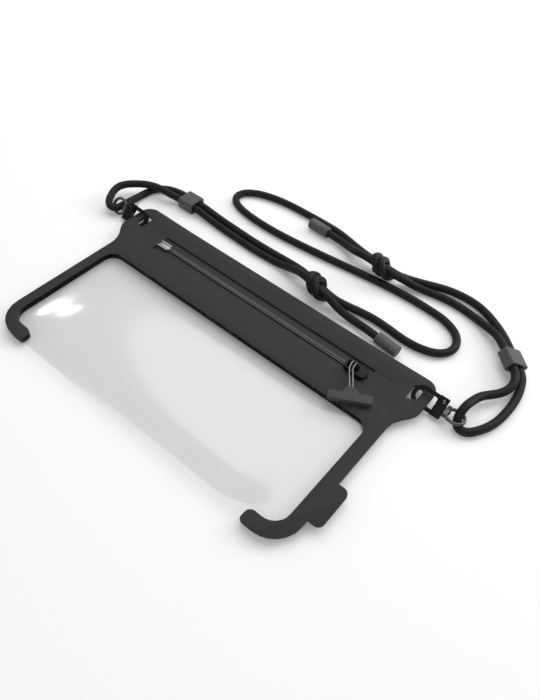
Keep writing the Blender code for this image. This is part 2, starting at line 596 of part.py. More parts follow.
def build_slider():
    """Slider body with two lugs, the pin across them, the hairpin wire and its moulded grip."""
    nose = SLIDER_X - SLIDER_LENGTH / 2
    n, t = SLIDER_NOSE_WIDTH / 2, SLIDER_TAIL_WIDTH / 2
    outline = rounded([(nose - SLIDER_X, -n, 0.0018), (0.0010, -t, 0.006), (SLIDER_LENGTH / 2, -t, 0.0030),
                       (SLIDER_LENGTH / 2, t, 0.0030), (0.0010, t, 0.006), (nose - SLIDER_X, n, 0.0018)],
                      math.radians(20))
    height = SLIDER_TOP_Z - TEETH_Z
    curve = flat_curve("zip_slider", [outline], height / 2)
    body = as_mesh(add("zip_slider", curve, DARK_METAL,
                       matrix=Matrix.Translation((SLIDER_X, ZIP_Y, TEETH_Z + height / 2))))
    soften(body, 0.0004, 2)
    channel = TEETH_HALF_WIDTH + SEAT
    combine(body, box("teeth_channel", (nose - 0.002, ZIP_Y - channel, TEETH_Z - 0.001),
                      (SLIDER_RIGHT_X + 0.002, ZIP_Y + channel, PLATE_Z), DARK_METAL), "DIFFERENCE")
    for i, x in enumerate((PIN_X - LUG_SPACING / 2, PIN_X + LUG_SPACING / 2)):
        foot = SLIDER_TOP_Z - 0.0006 - PIN_Z
        shape = [(-LUG_RADIUS, foot), (LUG_RADIUS, foot)] + arc(0, 0, LUG_RADIUS, 0, math.pi, 10)
        lug = add(f"lug_{i}", flat_curve("lug", [shape], LUG_THICKNESS / 2), DARK_METAL,
                  matrix=frame_matrix(Vector((x, ZIP_Y, PIN_Z)), Vector((0, 1, 0)), Vector((0, 0, 1))))
        combine(body, as_mesh(lug), "UNION")
    reach = LUG_SPACING / 2 + LUG_THICKNESS
    combine(body, rod("pin_hole", PIN_RADIUS + SEAT, (PIN_X - reach, ZIP_Y, PIN_Z), (PIN_X + reach, ZIP_Y, PIN_Z),
                      DARK_METAL), "DIFFERENCE")
    end = LUG_SPACING / 2 + LUG_THICKNESS / 2 + 0.0004
    rod("puller_pin", PIN_RADIUS, (PIN_X - end, ZIP_Y, PIN_Z), (PIN_X + end, ZIP_Y, PIN_Z), STEEL, sides=16)
    build_puller()


def build_puller():
    """The wire is bent round the pin like a closed hairpin, and its two ends run into the grip."""
    along = Vector((math.sin(GRIP_SKEW), -math.cos(GRIP_SKEW), 0))
    across = Vector((math.cos(GRIP_SKEW), math.sin(GRIP_SKEW), 0))
    grip_mid = GRIP_Z + GRIP_THICKNESS / 2 - PIN_Z
    neck_at = GRIP_REACH - GRIP_BAR / 2 - GRIP_NECK
    embed = 0.0026

    def leg(side):
        spread = side * WIRE_SPREAD / 2
        end = along * (neck_at + embed) + across * side * WIRE_SPREAD_AT_GRIP / 2
        mouth = along * (neck_at - 0.001) + across * side * WIRE_SPREAD_AT_GRIP / 2
        bend = Vector((spread + 0.0010, -0.0052, WRAP_RADIUS - 0.0004))
        return [Vector((end.x, end.y, grip_mid)), Vector((mouth.x, mouth.y, grip_mid)), bend,
                Vector((spread, -0.0018, WRAP_RADIUS))]

    def wrap(side):
        return [Vector((side * WIRE_SPREAD / 2, WRAP_RADIUS * math.cos(a), WRAP_RADIUS * math.sin(a)))
                for a in (math.radians(90 - 22.5 * i) for i in range(9))]

    closing = [Vector((x, -0.0010, -WRAP_RADIUS)) for x in (-WIRE_SPREAD / 2, WIRE_SPREAD / 2)]
    path = leg(-1) + wrap(-1) + closing + wrap(1)[::-1] + leg(1)[::-1]
    tube("puller_wire", path, WIRE_RADIUS, STEEL, matrix=Matrix.Translation((PIN_X, ZIP_Y, PIN_Z)))

    half, bar, neck = GRIP_LENGTH / 2, GRIP_BAR / 2, GRIP_NECK_WIDTH / 2
    shape = [(-half, -bar, 0.0016), (half, -bar, 0.0016), (half, bar, 0.0016), (neck + 0.0027, bar, 0.0015),
             (neck, bar + GRIP_NECK, 0.0011), (-neck, bar + GRIP_NECK, 0.0011), (-neck - 0.0027, bar, 0.0015),
             (-half, bar, 0.0016)]
    curve = flat_curve("puller_grip", [[(x, y - GRIP_REACH) for x, y in rounded(shape, math.radians(20))]],
                       GRIP_THICKNESS / 2)
    grip = as_mesh(add("puller_grip", curve, SOFT_BLACK,
                       matrix=frame_matrix(Vector((PIN_X, ZIP_Y, PIN_Z + grip_mid)), across, -along)))
    grip.data.transform(Matrix.Translation((0, 0, grip_mid)))
    grip.matrix_world = frame_matrix(Vector((PIN_X, ZIP_Y, PIN_Z)), across, -along)
    soften(grip, 0.0007, 2)
    pin = Vector((PIN_X, ZIP_Y, PIN_Z))
    for side in (-1, 1):
        lane = pin + across * side * WIRE_SPREAD_AT_GRIP / 2 + Vector((0, 0, grip_mid))
        combine(grip, rod(f"wire_hole_{side}", WIRE_RADIUS + SEAT, lane + along * (neck_at - 0.002),
                          lane + along * (neck_at + embed + SEAT), DARK_METAL, sides=12), "DIFFERENCE")


def build_hook(side, label, nose_x, shift, eye_tilt):
    """One swivel hook: cast body, sprung gate on its pin, and the eye that carries the cord.

    The near arm touches the front frame from below, which sets the height of the hook's axis.
    """
    along = Vector((side, 0, 0))
    across = Vector((0, math.cos(HOOK_TILT), math.sin(HOOK_TILT)))
    axis = Vector((0, SLOT_CENTRE_Y + shift, HOOK_Z))
    place = frame_matrix(axis, along, across)
    outer, inner = ARC_RADIUS, ARC_RADIUS - HOOK_ARM
    arc_x = nose_x + ARC_RADIUS
    root = BLOCK_X + 0.0012
    three_quarters = 1.5 * math.pi
    claw = ([(root, -outer)] + arc(arc_x, 0, outer, three_quarters, math.acos(-HOOK_TIP_REACH / outer), 10)
            + arc(arc_x, 0, inner, math.acos(-HOOK_TIP_REACH / inner), three_quarters, 8) + [(root, -inner)])
    body = as_mesh(add(f"hook_body_{label}", flat_curve("claw", [claw], HOOK_THICKNESS / 2), HOOK_BLACK,
                       matrix=place))
    wide = outer + BLOCK_PROUD
    block = box(f"block_{label}", (BLOCK_X, -wide, -BLOCK_THICKNESS / 2),
                (BLOCK_X + BLOCK_LENGTH, wide, BLOCK_THICKNESS / 2), HOOK_BLACK, matrix=place)
    soften(block, 0.0006, 2)
    combine(body, block, "UNION")
    slot_floor = GATE_PIVOT_V - GATE_ROOT_RADIUS - 2 * SEAT
    slot = box(f"gate_slot_{label}", (BLOCK_X - 0.001, slot_floor, -GATE_THICKNESS / 2 - SEAT),
               (GATE_PIVOT_U + GATE_ROOT_RADIUS + SEAT, outer + 0.001, GATE_THICKNESS / 2 + SEAT), HOOK_BLACK,
               matrix=place)
    combine(body, slot, "DIFFERENCE")
    pivot = place @ Vector((GATE_PIVOT_U, GATE_PIVOT_V, 0))
    normal = along.cross(across)
    reach = normal * (BLOCK_THICKNESS / 2 + 0.001)
    combine(body, rod(f"gate_pin_hole_{label}", GATE_PIN_RADIUS + SEAT, pivot - reach, pivot + reach, HOOK_BLACK),
            "DIFFERENCE")
    combine(body, rod(f"shank_hole_{label}", SHANK_RADIUS + SEAT, axis + along * (BLOCK_X - 0.001),
                      axis + along * (BLOCK_X + BLOCK_LENGTH + 0.001), HOOK_BLACK), "DIFFERENCE")
    combine(body, rod(f"head_seat_{label}", SHANK_HEAD_RADIUS + SEAT, axis + along * (BLOCK_X - 0.001),
                      axis + along * (BLOCK_X + SHANK_HEAD_LENGTH + SEAT), HOOK_BLACK), "DIFFERENCE")

    nose = HOOK_TIP_REACH - SEAT
    quarter = math.pi / 2
    top = GATE_PIVOT_V + GATE_ROOT_RADIUS
    gate = (arc(arc_x, 0, inner, math.acos(-nose / inner), quarter, 4)
            + [(BLOCK_X - 0.0010, inner), (BLOCK_X + 0.0010, GATE_PIVOT_V - GATE_ROOT_RADIUS)]
            + arc(GATE_PIVOT_U, GATE_PIVOT_V, GATE_ROOT_RADIUS, -quarter, quarter, 8)
            + [(BLOCK_X + 0.0010, top), (BLOCK_X - 0.0010, outer)]
            + arc(arc_x, 0, outer, quarter, math.acos(-nose / outer), 3))
    local = [(x - GATE_PIVOT_U, y - GATE_PIVOT_V) for x, y in gate]
    lever = as_mesh(add(f"hook_gate_{label}", flat_curve("gate", [local], GATE_THICKNESS / 2), HOOK_BLACK,
                        matrix=frame_matrix(pivot, along, across)))
    combine(lever, rod(f"gate_hole_{label}", GATE_PIN_RADIUS + SEAT, pivot - reach, pivot + reach, HOOK_BLACK),
            "DIFFERENCE")
    half_pin = normal * (BLOCK_THICKNESS / 2 + 0.0001)
    rod(f"gate_pin_{label}", GATE_PIN_RADIUS, pivot - half_pin, pivot + half_pin, DARK_METAL, sides=16)

    head_end = BLOCK_X + SEAT / 2
    dome = BRIDGE_LENGTH + 0.0012
    profile = [(0, dome), (COLLAR_RADIUS * 0.6, dome - 0.0002), (COLLAR_RADIUS, dome - 0.0010),
               (COLLAR_RADIUS, 0.0),
               (SHANK_RADIUS, 0.0), (SHANK_RADIUS, head_end + SHANK_HEAD_LENGTH - COLLAR_X),
               (SHANK_HEAD_RADIUS, head_end + SHANK_HEAD_LENGTH - COLLAR_X), (SHANK_HEAD_RADIUS, head_end - COLLAR_X),
               (0, head_end - COLLAR_X)]
    eye = turned(f"swivel_eye_{label}", profile, EYE_GREY,
                 frame_matrix(axis + along * COLLAR_X, Vector((0, 0, -side)), Vector((0, 1, 0))))
    ring_across = Vector((0, math.cos(eye_tilt), math.sin(eye_tilt)))
    ring = [(EYE_LENGTH / 2 * math.cos(a), EYE_WIDTH / 2 * math.sin(a), 0)
            for a in (2 * math.pi * i / 24 for i in range(24))]
    wire = tube(f"ring_{label}", ring, EYE_WIRE_RADIUS, EYE_GREY, closed=True,
                matrix=frame_matrix(axis + along * EYE_X, along, ring_across))
    combine(eye, as_mesh(wire), "UNION")
    bridge = box(f"bridge_{label}", (0.0001, -BRIDGE_WIDTH / 2, -BRIDGE_THICKNESS / 2),
                 (BRIDGE_LENGTH, BRIDGE_WIDTH / 2, BRIDGE_THICKNESS / 2), EYE_GREY,
                 matrix=frame_matrix(axis + along * COLLAR_X, along, ring_across))
    combine(eye, bridge, "UNION")


def smooth_route(route, count):
    """Points on a smooth curve through the route, closer together where it bends."""
    route = [Vector(p) for p in route]
    steps = [b - a for a, b in zip(route, route[1:])]
    slopes = [steps[0].normalized()]
    for before, after in zip(steps, steps[1:]):
        slopes.append((before / before.length * after.length + after / after.length * before.length)
                      / (before.length + after.length))
    slopes.append(steps[-1].normalized())
    fine = []
    for i, step in enumerate(steps):
        for part in range(12):
            t = part / 12
            fine.append(route[i] * (2 * t ** 3 - 3 * t ** 2 + 1) + route[i + 1] * (3 * t ** 2 - 2 * t ** 3)
                        + slopes[i] * step.length * (t ** 3 - 2 * t ** 2 + t)
                        + slopes[i + 1] * step.length * (t ** 3 - t ** 2))
    fine.append(route[-1])
    weight = [0.0]
    for i in range(1, len(fine)):
        step = fine[i] - fine[i - 1]
        turn = step.angle(fine[i - 1] - fine[i - 2]) if i > 1 else 0.0
        weight.append(weight[-1] + step.length / 0.018 + turn / 0.35)
    picked = []
    place = 0
    for n in range(count):
        goal = weight[-1] * n / (count - 1)
        while place < len(weight) - 2 and weight[place + 1] < goal:
            place += 1
        part = (goal - weight[place]) / max(1e-9, weight[place + 1] - weight[place])
        picked.append(fine[place].lerp(fine[place + 1], min(1.0, part)))
    return picked


def run(place, side, reach, back=False):
    """A straight run of cord through a piece, on one side of its middle."""
    centre, heading, roll = place
    along = Vector((math.cos(heading), math.sin(heading), 0)) * (-1 if back else 1)
    level = Vector((-math.sin(heading), math.cos(heading), 0))
    offset = (level * math.cos(roll) + Vector((0, 0, math.sin(roll)))) * side * STRAND_SPACING / 2
    return [centre + offset + along * at for at in (-reach - 0.0025, -reach, reach, reach + 0.0025)]


def cord_route():
    """The whole cord from the near cap to the far one."""
    tails = []
    for mouth, heading, _ in (NEAR_CAP, FAR_CAP):
        along = Vector((math.cos(heading), math.sin(heading), 0))
        tails.append([mouth + along * at for at in (CAP_BORE_DEPTH - SEAT, 0.004, -0.005, -0.010)])
    return (tails[0] + NEAR_TAIL + run(NEAR_KNOT, -1, KNOT_REACH, back=True) + NEAR_STRAND
            + run(LEFT_LOCK, -1, LOCK_REACH, back=True) + LEFT_LOOP + run(LEFT_LOCK, 1, LOCK_REACH)
            + FAR_STRAND + run(NEAR_KNOT, 1, KNOT_REACH) + LONG_LOOP + run(FAR_KNOT, 1, KNOT_REACH)
            + UPPER_STRAND + run(RIGHT_LOCK, 1, LOCK_REACH) + RIGHT_LOOP
            + run(RIGHT_LOCK, -1, LOCK_REACH, back=True) + LOWER_STRAND
            + run(FAR_KNOT, -1, KNOT_REACH, back=True) + FAR_TAIL + tails[1][::-1])


def build_knot(name, centre, heading, roll):
    """Turns of cord wound round the two strands, leaning as a pulled knot does."""
    along = Vector((math.cos(heading), math.sin(heading), 0))
    level = Vector((-math.sin(heading), math.cos(heading), 0))
    across = level * math.cos(roll) + Vector((0, 0, math.sin(roll)))
    wrap = CORD_RADIUS + KNOT_PLAY + KNOT_WIRE_RADIUS
    steps = round(KNOT_TURNS * 14)
    points = []
    for i in range(steps + 1):
        turn = KNOT_TURNS * i / steps
        a = 2 * math.pi * turn - math.pi / 2
        spread = STRAND_SPACING / 2 * max(-1.0, min(1.0, 2.2 * math.cos(a)))
        points.append((KNOT_PITCH * (turn - KNOT_TURNS / 2) + KNOT_LEAN * math.sin(a),
                       spread + wrap * math.cos(a), wrap * math.sin(a)))
    tube(name, points, KNOT_WIRE_RADIUS, CORD_BLACK, matrix=frame_matrix(centre, along, across))


def build_lock(name, centre, heading, roll):
    """A moulded block with one oblong bore that grips both strands."""
    along = Vector((math.cos(heading), math.sin(heading), 0))
    level = Vector((-math.sin(heading), math.cos(heading), 0))
    across = level * math.cos(roll) + Vector((0, 0, math.sin(roll)))
    radius = CORD_RADIUS + LOCK_PLAY
    half = STRAND_SPACING / 2
    bore = (arc(half, 0, radius, -math.pi / 2, math.pi / 2, 10)
            + arc(-half, 0, radius, math.pi / 2, 1.5 * math.pi, 10))
    w, h = LOCK_HALF_WIDTH, LOCK_HALF_HEIGHT
    shell = rounded([(-w, -h, 0.0018), (w, -h, 0.0018), (w, h, 0.0018), (-w, h, 0.0018)], math.radians(22.5))
    curve = flat_curve(name, [shell, bore], LOCK_LENGTH / 2)
    made = as_mesh(add(name, curve, LOCK_GREY, matrix=frame_matrix(centre, across, along.cross(across))))
    return soften(made, 0.0004, 1)


def build_cap(name, mouth, heading, _roll):
    """A ribbed end cap: the cord goes into a blind bore."""
    along = Vector((math.cos(heading), math.sin(heading), 0))
    across = Vector((0, 0, 1))
    ring = []
    for i in range(2 * CAP_RIBS):
        a = math.pi * i / CAP_RIBS
        radius = CAP_RADIUS - (CAP_RIB_DEPTH if i % 2 else 0.0)
        ring.append((radius * math.cos(a), radius * math.sin(a)))
    curve = flat_curve(name, [ring], CAP_LENGTH / 2)
    middle = mouth + along * CAP_LENGTH / 2
    cap = as_mesh(add(name, curve, LOCK_GREY, matrix=frame_matrix(middle, across.cross(along), across)))
    combine(cap, rod(f"bore_{name}", CORD_RADIUS + CAP_PLAY, mouth - along * 0.001, mouth + along * CAP_BORE_DEPTH,
                     LOCK_GREY), "DIFFERENCE")


def build_cord():
    """The shoulder cord in one length, with its knots, locks and end caps."""
    tube("shoulder_cord", smooth_route(cord_route(), CORD_POINTS), CORD_RADIUS, CORD_BLACK)
    build_knot("knot_near", *NEAR_KNOT)
    build_knot("knot_far", *FAR_KNOT)
    build_lock("cord_lock_left", *LEFT_LOCK)
    build_lock("cord_lock_right", *RIGHT_LOCK)
    build_cap("cord_cap_near", *NEAR_CAP)
    build_cap("cord_cap_far", *FAR_CAP)


build_frames()
build_film("front_window", FRONT_FILM_Z, FRONT_BULGE, 1)
build_film("back_window", BACK_FILM_Z + FILM_THICKNESS, -BACK_FILM_Z, -1)
build_zip()
build_slider()
build_hook(-1, "left", HOOK_NOSE_X + LEFT_EAR_EXTRA, LEFT_HOOK_SHIFT, LEFT_EYE_TILT)
build_hook(1, "right", HOOK_NOSE_X, RIGHT_HOOK_SHIFT, RIGHT_EYE_TILT)
build_cord()
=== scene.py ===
"""The waterproof crossbody pouch as it is photographed: lying on its back film on a white surface,
with its shoulder cord gathered behind it."""

import math

import bmesh
import bpy
from mathutils import Matrix, Vector


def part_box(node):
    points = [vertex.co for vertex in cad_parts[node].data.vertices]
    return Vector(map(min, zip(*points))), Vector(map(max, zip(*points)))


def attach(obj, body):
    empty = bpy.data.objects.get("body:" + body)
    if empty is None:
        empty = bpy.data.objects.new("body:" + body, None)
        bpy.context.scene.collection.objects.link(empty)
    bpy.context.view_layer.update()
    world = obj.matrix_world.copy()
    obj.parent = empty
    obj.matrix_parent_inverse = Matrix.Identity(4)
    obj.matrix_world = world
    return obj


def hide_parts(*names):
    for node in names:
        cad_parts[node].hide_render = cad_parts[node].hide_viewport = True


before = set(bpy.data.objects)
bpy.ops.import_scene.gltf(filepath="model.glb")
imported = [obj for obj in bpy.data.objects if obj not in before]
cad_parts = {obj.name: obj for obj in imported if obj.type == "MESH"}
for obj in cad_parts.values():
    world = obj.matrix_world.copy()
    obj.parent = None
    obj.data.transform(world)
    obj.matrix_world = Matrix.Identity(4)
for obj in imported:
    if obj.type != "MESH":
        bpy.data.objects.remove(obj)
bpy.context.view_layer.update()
scene = bpy.context.scene


# Soft black moulding: the front and back frames and the patches at the ends of the zip.
# They are moulded in a matte rubbery plastic, welded to the films, with a fine even grain.
class Value:
    """A shader socket that can be used in sums and products."""

    def __init__(self, tree, socket):
        self.tree = tree
        self.socket = socket

    def node(self, kind, output, inputs=None, **settings):
        """Another node, as a value: its settings first, then its sockets."""
        made = self.tree.nodes.new(kind)
        for name, value in settings.items():
            setattr(made, name, value)
        for name, value in (inputs or {}).items():
            if isinstance(value, Value):
                self.tree.links.new(value.socket, made.inputs[name])
            else:
                made.inputs[name].default_value = value
        return Value(self.tree, made.outputs[output])

    def math(self, operation, first, second=None):
        inputs = {0: first} if second is None else {0: first, 1: second}
        return self.node("ShaderNodeMath", 0, inputs, operation=operation)

    def __add__(self, other):
        return self.math("ADD", self, other)

    __radd__ = __add__

    def __sub__(self, other):
        return self.math("SUBTRACT", self, other)

    def __rsub__(self, other):
        return self.math("SUBTRACT", other, self)

    def __mul__(self, other):
        return self.math("MULTIPLY", self, other)

    __rmul__ = __mul__

    def __pow__(self, other):
        return self.math("POWER", self, other)


class Finish:
    """A Principled material with its Object coordinates ready as a value."""

    def __init__(self, name, colour, roughness, metallic=0.0, specular=0.5):
        self.material = bpy.data.materials.new(name)
        self.material.use_nodes = True
        self.tree = self.material.node_tree
        self.shader = self.tree.nodes["Principled BSDF"]
        self.shader.inputs["Base Color"].default_value = (*colour, 1)
        self.shader.inputs["Roughness"].default_value = roughness
        self.shader.inputs["Metallic"].default_value = metallic
        self.shader.inputs["Specular IOR Level"].default_value = specular
        self.colour = colour
        coordinates = self.tree.nodes.new("ShaderNodeTexCoord")
        self.place = Value(self.tree, coordinates.outputs["Object"])
        self.strip = Value(self.tree, coordinates.outputs["UV"])

    def drive(self, socket, value):
        self.tree.links.new(value.socket, self.shader.inputs[socket])

    def noise(self, size, detail=2.0):
        """Soft noise whose blobs are about size across, in metres."""
        return self.place.node("ShaderNodeTexNoise", "Fac",
                               {"Vector": self.place, "Scale": 1 / size, "Detail": detail})

    def raise_by(self, height, distance, strength=1.0):
        self.drive("Normal", height.node("ShaderNodeBump", "Normal", {
            "Height": height, "Strength": strength, "Distance": distance}))

    def shade(self, value, amount):
        """Lightens and darkens the colour by amount, as value goes from 0 to 1."""
        dark = tuple(c * (1 - amount) for c in self.colour)
        light = tuple(c * (1 + amount) for c in self.colour)
        mixed = value.node("ShaderNodeMix", 2, {0: value, 6: (*dark, 1), 7: (*light, 1)}, data_type="RGBA")
        self.drive("Base Color", mixed)


CLOUD_SIZE = 0.018
CLOUD_SHARE = 0.10


def moulded(name, colour, roughness, grain=0.00035, depth=0.00003, **more):
    """A moulded or cast finish: fine grain, faint cloudiness in its colour and sheen."""
    made = Finish(name, colour, roughness, **more)
    made.raise_by(made.noise(grain), depth)
    cloud = made.noise(CLOUD_SIZE, 3.0)
    made.shade(cloud, CLOUD_SHARE)
    made.drive("Roughness", cloud * CLOUD_SHARE + (roughness - CLOUD_SHARE / 2))
    return made.material


MERGE_DISTANCE = 0.000002
FLAT_ANGLE = math.radians(0.5)
EDGE_ANGLE = math.radians(50)


def refined(node, mat, angle=35, body="pouch", edge=0.0):
    """A smooth copy of a CAD node that stands for it, with its sharp edges eased by edge."""
    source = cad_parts[node]
    mesh = source.data.copy()
    shape = bmesh.new()
    shape.from_mesh(mesh)
    bmesh.ops.remove_doubles(shape, verts=shape.verts, dist=MERGE_DISTANCE)
    bmesh.ops.dissolve_limit(shape, angle_limit=FLAT_ANGLE, verts=shape.verts, edges=shape.edges)
    shape.to_mesh(mesh)
    shape.free()
    mesh.name = node + "_shown"
    mesh.materials.clear()
    mesh.materials.append(mat)
    mesh.shade_smooth()
    mesh.set_sharp_from_angle(angle=math.radians(angle))
    piece = bpy.data.objects.new(node + "_shown", mesh)
    scene.collection.objects.link(piece)
    if edge:
        bevel = piece.modifiers.new("eased edge", "BEVEL")
        bevel.width = edge
        bevel.segments = 2
        bevel.limit_method = "ANGLE"
        bevel.angle_limit = EDGE_ANGLE
        bevel.harden_normals = True
    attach(piece, body)
    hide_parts(node)
    return piece


# The faces that stand upright inside the window are glossy and painted near-black: painted shade for the
# unlit walls between the films.
# The patches are grown by a hair, so that no line of light shows round them.
WINDOW_WALL_X = 0.1156
WINDOW_WALL_Y = (-0.0673, 0.0226)
UPRIGHT_NORMAL_Z = 0.95
PATCH_GROWTH = 0.00024
soft_black = moulded("soft moulding", (0.033, 0.033, 0.0335), 0.62, specular=0.15)
# The near-black colour of the window walls is painted shade.
painted_shade_wall = moulded("window wall painted shade", (0.0015, 0.0015, 0.0015), 0.25, depth=0.000004, specular=0.10)
for node in ("front_frame", "back_frame"):
    piece = refined(node, soft_black)
    piece.data.materials.append(painted_shade_wall)
    for face in piece.data.polygons:
        inside = (abs(face.center.x) < WINDOW_WALL_X
                  and WINDOW_WALL_Y[0] < face.center.y < WINDOW_WALL_Y[1])
        if inside and abs(face.normal.z) < UPRIGHT_NORMAL_Z:
            face.material_index = 1
for side in ("left", "right"):
    piece = refined("zip_patch_" + side, soft_black)
    low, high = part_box("zip_patch_" + side)
    middle = (Vector(low) + Vector(high)) / 2
    for vert in piece.data.vertices:
        for axis in (0, 1):
            vert.co[axis] += math.copysign(PATCH_GROWTH, vert.co[axis] - middle[axis])

# Clear films: a thin flexible glossy sheet on each side, welded to the frames all round.
# Light goes straight through, with a reflection that grows towards grazing angles.
FILM_TINT = (0.985, 0.986, 0.9855)
WAVE_SCALE = 16.0
WAVE_DEPTH = 0.002
WAVE_STRENGTH = 0.08
GRAZING_POWER = 5
GRAZING_SHARE = 0.9


def clear_film(name, gloss_share, roughness):
    """A clear film that lets light straight through and mirrors more at grazing angles."""
    made = bpy.data.materials.new(name)
    made.use_nodes = True
    tree = made.node_tree
    tree.nodes.clear()
    place = Value(tree, tree.nodes.new("ShaderNodeTexCoord").outputs["Object"])
    waves = place.node("ShaderNodeTexNoise", "Fac", {"Vector": place, "Scale": WAVE_SCALE, "Detail": 0.0})
    bump = waves.node("ShaderNodeBump", "Normal", {
        "Height": waves, "Strength": WAVE_STRENGTH, "Distance": WAVE_DEPTH})
    facing = bump.node("ShaderNodeLayerWeight", "Facing", {"Blend": 0.5, "Normal": bump})
    clear = place.node("ShaderNodeBsdfTransparent", 0, {"Color": (*FILM_TINT, 1)})
    gloss = place.node("ShaderNodeBsdfGlossy", 0, {"Roughness": roughness, "Normal": bump})
    share = facing ** GRAZING_POWER * GRAZING_SHARE + gloss_share
    surface = place.node("ShaderNodeMixShader", 0, {0: share, 1: clear, 2: gloss})
    output = tree.nodes.new("ShaderNodeOutputMaterial")
    tree.links.new(surface.socket, output.inputs["Surface"])
    return made


for side, share, roughness in (("front", 0.045, 0.15), ("back", 0.012, 0.30)):
    window = refined(side + "_window", clear_film(side + " film", share, roughness), angle=60)

# Zip: coated tapes under the frame's lip, a fine moulded chain and a bright pressed end stop.
# The two rows of teeth mesh along the middle of the slot, from the stop to the slider.
TOOTH_PITCH = 0.0012
TOOTH_WIDTH = 0.00052
TOOTH_CROSS = 0.00030
SPINE_IN = 0.00045
SPINE_DROP = 0.0003
TOOTH_GAP = 0.00002
TOOTH_EDGE = 0.00012
tape = moulded("coated tape", (0.021, 0.021, 0.0215), 0.55, specular=0.26)
chain = moulded("moulded chain", (0.075, 0.075, 0.078), 0.28, depth=0.000006, metallic=0.8)
pressed = moulded("pressed metal", (0.34, 0.34, 0.345), 0.34, grain=0.0005, depth=0.000006, metallic=1.0)


def teeth_row(name, direction):
    """A spine with a tooth at every pitch, inside the room of the plain row that it stands for."""
    low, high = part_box(name)
    row_in = low[1] if direction > 0 else high[1]
    row_out = high[1] if direction > 0 else low[1]
    mesh = bpy.data.meshes.new(name + "_shown")
    shape = bmesh.new()

    def block(x_low, x_high, y_a, y_b, z_high):
        made = bmesh.ops.create_cube(shape, size=1)["verts"]
        bmesh.ops.scale(shape, vec=(x_high - x_low, abs(y_b - y_a), z_high - low[2]), verts=made)
        bmesh.ops.translate(shape, vec=((x_low + x_high) / 2, (y_a + y_b) / 2, (low[2] + z_high) / 2),
                            verts=made)

    spine = row_in + direction * (2 * TOOTH_CROSS + SPINE_IN)
    block(low[0], high[0], spine, row_out, high[2] - SPINE_DROP)
    for i in range(int((high[0] - low[0]) / TOOTH_PITCH)):
        x = low[0] + TOOTH_PITCH * (i + (0.25 if direction > 0 else 0.75)) - TOOTH_WIDTH / 2
        block(x, x + TOOTH_WIDTH, row_in, spine - direction * TOOTH_GAP, high[2])
    shape.to_mesh(mesh)
    shape.free()
    mesh.materials.append(chain)
    piece = bpy.data.objects.new(name + "_shown", mesh)
    scene.collection.objects.link(piece)
    bevel = piece.modifiers.new("moulded edge", "BEVEL")
    bevel.width = TOOTH_EDGE
    bevel.segments = 1
    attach(piece, "pouch")
    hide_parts(name)


for side, direction in (("far", 1), ("near", -1)):
    refined("zip_tape_" + side, tape)
    teeth_row("zip_teeth_" + side, direction)
refined("zip_end_stop", pressed, edge=0.00015)

# Slider: a coated body with two lugs and a pin, a hairpin wire and a moulded grip.
# The wire wraps the pin, so the grip can be lifted and thrown over.
coated = moulded("coated slider", (0.006, 0.006, 0.0065), 0.24, grain=0.0006, depth=0.000004, specular=0.14)
wire = moulded("puller wire", (0.16, 0.16, 0.165), 0.34, grain=0.0004, depth=0.000008, metallic=0.8)
soft_grip = moulded("soft grip", (0.052, 0.052, 0.0525), 0.58, specular=0.24)
refined("zip_slider", coated, body="slider", edge=0.00018)
refined("puller_pin", coated, body="slider", edge=0.00015)
refined("puller_wire", wire, angle=60, body="puller")
refined("puller_grip", soft_grip, body="puller")

# Swivel hooks: a painted cast body with a sprung gate on a pin, and a grey eye that turns in it.
# Each hook hangs in its ear's slot, and the eye's ring holds the cord.
painted = moulded("painted hook", (0.0055, 0.0055, 0.006), 0.36, grain=0.0005, depth=0.000008, specular=0.16)
grey = moulded("grey eye", (0.085, 0.085, 0.088), 0.30, grain=0.0008, depth=0.00001, metallic=0.7)
for side in ("left", "right"):
    refined("hook_body_" + side, painted, body="hook_" + side, edge=0.0003)
    refined("hook_gate_" + side, painted, body="gate_" + side, edge=0.0002)
    refined("gate_pin_" + side, grey, body="hook_" + side, edge=0.00015)
    refined("swivel_eye_" + side, grey, angle=45)

# Cord locks and end caps: matte grey mouldings, the caps with ribs along them.
# Each lock holds two strands side by side, and each cap closes one end of the cord.
NEAR_CAP = (Vector((0.0770, 0.0864, 0.0046)), math.radians(-6), 0.0)
FAR_CAP = (Vector((-0.0120, 0.1516, 0.0046)), math.radians(177), 0.0)
GROOVE_RADIUS = 0.0041
RIB_RADIUS = 0.0044
GRAIN_SHARE = 0.1
matte_grey = moulded("moulded lock", (0.072, 0.072, 0.074), 0.48, specular=0.3)
locks = [refined("cord_lock_" + side, matte_grey) for side in ("left", "right")]
# The caps' colour carries painted shade in the grooves between the ribs and a painted highlight on the rib
# crests, with a little grain; their UV says how far up a rib a point is.
ribbed_painted_shade = Finish("ribbed cap painted shade", (0.125, 0.125, 0.127), 0.48, specular=0.3)
rise = ribbed_painted_shade.strip.node("ShaderNodeSeparateXYZ", "X", {"Vector": ribbed_painted_shade.strip})
# Painted shade in the rib grooves and painted highlight on the rib crests.
ribbed_painted_shade.shade(rise ** 2 * (1 - GRAIN_SHARE) + ribbed_painted_shade.noise(0.0006) * GRAIN_SHARE, 0.85)
ribbed_painted_shade.raise_by(ribbed_painted_shade.noise(0.00035), 0.00003)
for side, (mouth, heading, _) in (("near", NEAR_CAP), ("far", FAR_CAP)):
    cap = refined("cord_cap_" + side, ribbed_painted_shade.material, angle=20)
    ahead = Vector((math.cos(heading), math.sin(heading), 0))
    rises = cap.data.uv_layers.new(name="UVMap")
    for loop in cap.data.loops:
        out = cap.data.vertices[loop.vertex_index].co - mouth
        radius = (out - ahead * out.dot(ahead)).length
        rises.data[loop.index].uv = ((radius - GROOVE_RADIUS) / (RIB_RADIUS - GROOVE_RADIUS), 0.5)

